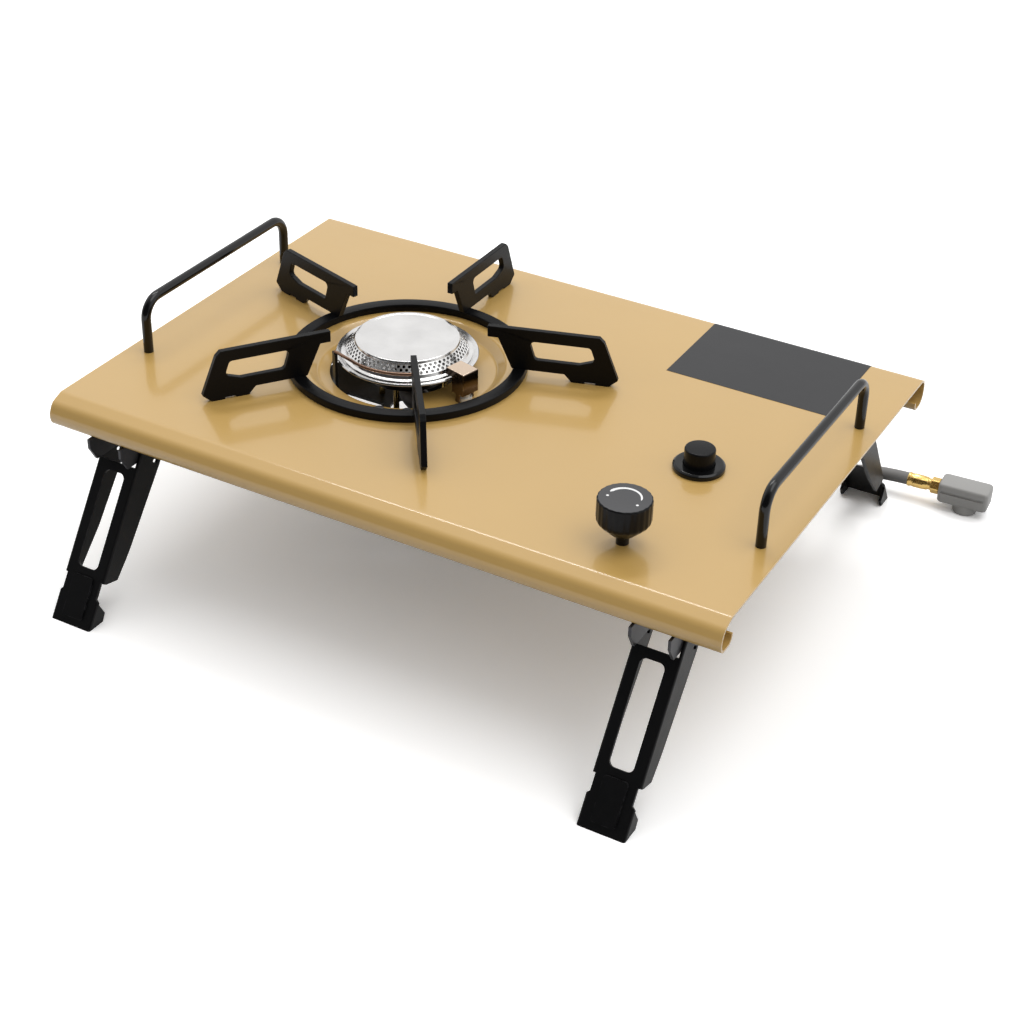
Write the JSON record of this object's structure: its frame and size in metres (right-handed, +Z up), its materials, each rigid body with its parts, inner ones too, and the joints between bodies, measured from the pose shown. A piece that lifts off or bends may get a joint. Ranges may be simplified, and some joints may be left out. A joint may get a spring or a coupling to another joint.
{
  "type": "portable gas stove",
  "caption": "Sheet-metal table stove with a round burner, lift-off pan support, folding splayed legs, wire handles, gas knob, push igniter and a hose with a cartridge connector.",
  "frame": {"origin": "on the floor, under the middle of the sheet top", "axes": "+Z up, +X to the right along the long side, front at -Y"},
  "size_m": [0.3927, 0.3416, 0.1302],
  "materials": {
    "tan_paint": "satin",
    "black_coat": "satin",
    "dark_steel": "satin",
    "zinc_steel": "satin",
    "stainless": "polished",
    "tinted_steel": "heat tinted",
    "brass": "satin",
    "ceramic": "glazed",
    "black_plastic": "satin",
    "hose_rubber": "matte",
    "grey_casting": "matte"
  },
  "bodies": {
    "stove": {"top_plate": "tan_paint", "left_handle": "black_coat", "right_handle": "black_coat", "burner_bracket": "black_coat", "front_left_hinge": "dark_steel", "front_right_hinge": "dark_steel", "rear_left_hinge": "dark_steel", "rear_right_hinge": "dark_steel", "handle_screws": "zinc_steel", "hinge_pins": "zinc_steel", "hinge_nuts": "zinc_steel", "valve_nuts": "zinc_steel", "burner_rivets": "zinc_steel", "gas_pipe": "zinc_steel", "hose_clip": "zinc_steel", "button_spring": "zinc_steel", "electrode_pin": "zinc_steel", "burner_cup": "stainless", "burner_cap": "stainless", "electrode_shield": "tinted_steel", "guard_wire": "tinted_steel", "burner_standoffs": "brass", "mixing_tube": "brass", "gas_jet": "brass", "valve_body": "brass", "hose_ferrule": "brass", "spark_electrode": "ceramic", "igniter_bezel": "black_plastic", "igniter_nut": "black_plastic", "piezo_body": "black_plastic", "ignition_lead": "black_plastic", "gas_hose": "hose_rubber", "gas_connector": "grey_casting"},
    "front_left_leg": {"front_left_leg": "black_coat"},
    "front_right_leg": {"front_right_leg": "black_coat"},
    "rear_left_leg": {"rear_left_leg": "black_coat"},
    "rear_right_leg": {"rear_right_leg": "black_coat"},
    "pan_support": {"trivet_ring": "black_coat", "trivet_arm_1": "black_coat", "trivet_arm_2": "black_coat", "trivet_arm_3": "black_coat", "trivet_arm_4": "black_coat", "trivet_arm_5": "black_coat"},
    "knob": {"knob": "black_plastic", "valve_stem": "zinc_steel"},
    "button": {"igniter_button": "black_plastic"}
  },
  "joints": [
    {"name": "front_left_fold", "type": "hinge", "parent": "stove", "child": "front_left_leg", "pos_m": [-0.1473, -0.1005, 0.07659], "axis": [1, 0, 0], "range_deg": [0, 123.65]},
    {"name": "front_right_fold", "type": "hinge", "parent": "stove", "child": "front_right_leg", "pos_m": [0.1473, -0.1005, 0.07659], "axis": [1, 0, 0], "range_deg": [0, 123.65]},
    {"name": "rear_left_fold", "type": "hinge", "parent": "stove", "child": "rear_left_leg", "pos_m": [-0.1473, 0.1005, 0.07659], "axis": [-1, 0, 0], "range_deg": [0, 123.65]},
    {"name": "rear_right_fold", "type": "hinge", "parent": "stove", "child": "rear_right_leg", "pos_m": [0.1473, 0.1005, 0.07659], "axis": [-1, 0, 0], "range_deg": [0, 123.65]},
    {"name": "knob_turn", "type": "hinge", "parent": "stove", "child": "knob", "pos_m": [0.1155, -0.0895, 0.1], "axis": [0, 0, 1], "range_deg": [0, 225]},
    {"name": "button_press", "type": "slide", "parent": "stove", "child": "button", "axis": [0, 0, -1], "range_m": [0, 0.005], "stiffness_N_per_m": 400, "springref_m": -0.003, "deforming": ["button_spring"]},
    {"name": "pan_support_lift", "type": "slide", "parent": "stove", "child": "pan_support", "axis": [0, 0, 1], "range_m": [0, 0.06]}
  ]
}
